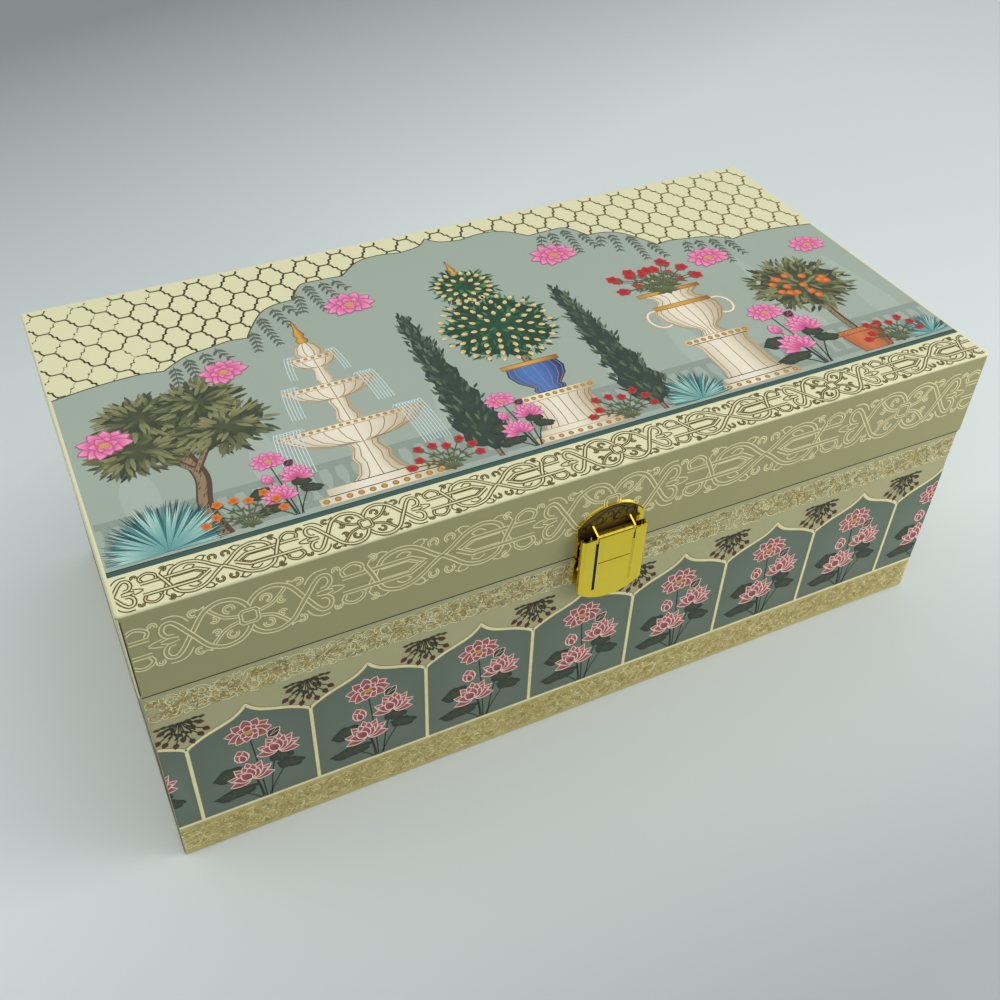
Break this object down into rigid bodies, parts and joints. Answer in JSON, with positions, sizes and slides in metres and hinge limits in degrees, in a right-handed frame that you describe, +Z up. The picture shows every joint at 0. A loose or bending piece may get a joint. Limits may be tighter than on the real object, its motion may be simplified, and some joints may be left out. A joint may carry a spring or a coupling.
{
  "type": "wooden gift box",
  "caption": "Oblong paper-wrapped wooden gift box with a hinged lid, butt hinges at the back and a sprung brass clasp at the front.",
  "frame": {"origin": "on the floor, under the middle of the base", "axes": "+X along the front, from left to right as seen from the front; +Y from the front to the back; +Z up"},
  "size_m": [0.2648, 0.1456, 0.1024],
  "materials": {
    "board": "plain fibreboard",
    "base_print": "matt printed paper with gold foil",
    "lid_print": "matt printed paper with gold foil",
    "plain_paper": "matt cream paper",
    "lining": "matt ivory lining paper",
    "brass": "polished yellow brass plating",
    "hinge_brass": "brushed brass plating"
  },
  "bodies": {
    "base": {"base_front_board": "board", "base_back_board": "board", "base_left_board": "board", "base_right_board": "board", "base_bottom_board": "board", "base_wrap": "base_print", "underside_paper": "plain_paper", "base_wall_lining": "lining", "base_floor_card": "lining", "hinge_base_nails": "hinge_brass", "clasp_keeper": "brass", "clasp_keeper_nails": "brass", "left_hinge_base_leaf": "hinge_brass", "left_hinge_pin": "hinge_brass", "right_hinge_base_leaf": "hinge_brass", "right_hinge_pin": "hinge_brass"},
    "lid": {"lid_front_board": "board", "lid_back_board": "board", "lid_left_board": "board", "lid_right_board": "board", "lid_top_board": "board", "lid_main_sheet": "lid_print", "lid_left_sheet": "plain_paper", "lid_right_sheet": "plain_paper", "lid_wall_lining": "lining", "lid_top_lining": "lining", "hinge_lid_nails": "hinge_brass", "clasp_lid_plate": "brass", "clasp_pin": "brass", "clasp_lid_nails": "brass", "left_hinge_lid_leaf": "hinge_brass", "right_hinge_lid_leaf": "hinge_brass"},
    "clasp": {"clasp_flap": "brass"}
  },
  "joints": [
    {"name": "lid_hinge", "type": "hinge", "parent": "base", "child": "lid", "pos_m": [0, 0.07065, 0.07235], "axis": [-1, 0, 0], "range_deg": [0, 175]},
    {"name": "clasp_pivot", "type": "hinge", "parent": "lid", "child": "clasp", "pos_m": [0, -0.07165, 0.0798], "axis": [-1, 0, 0], "range_deg": [0, 110]}
  ]
}
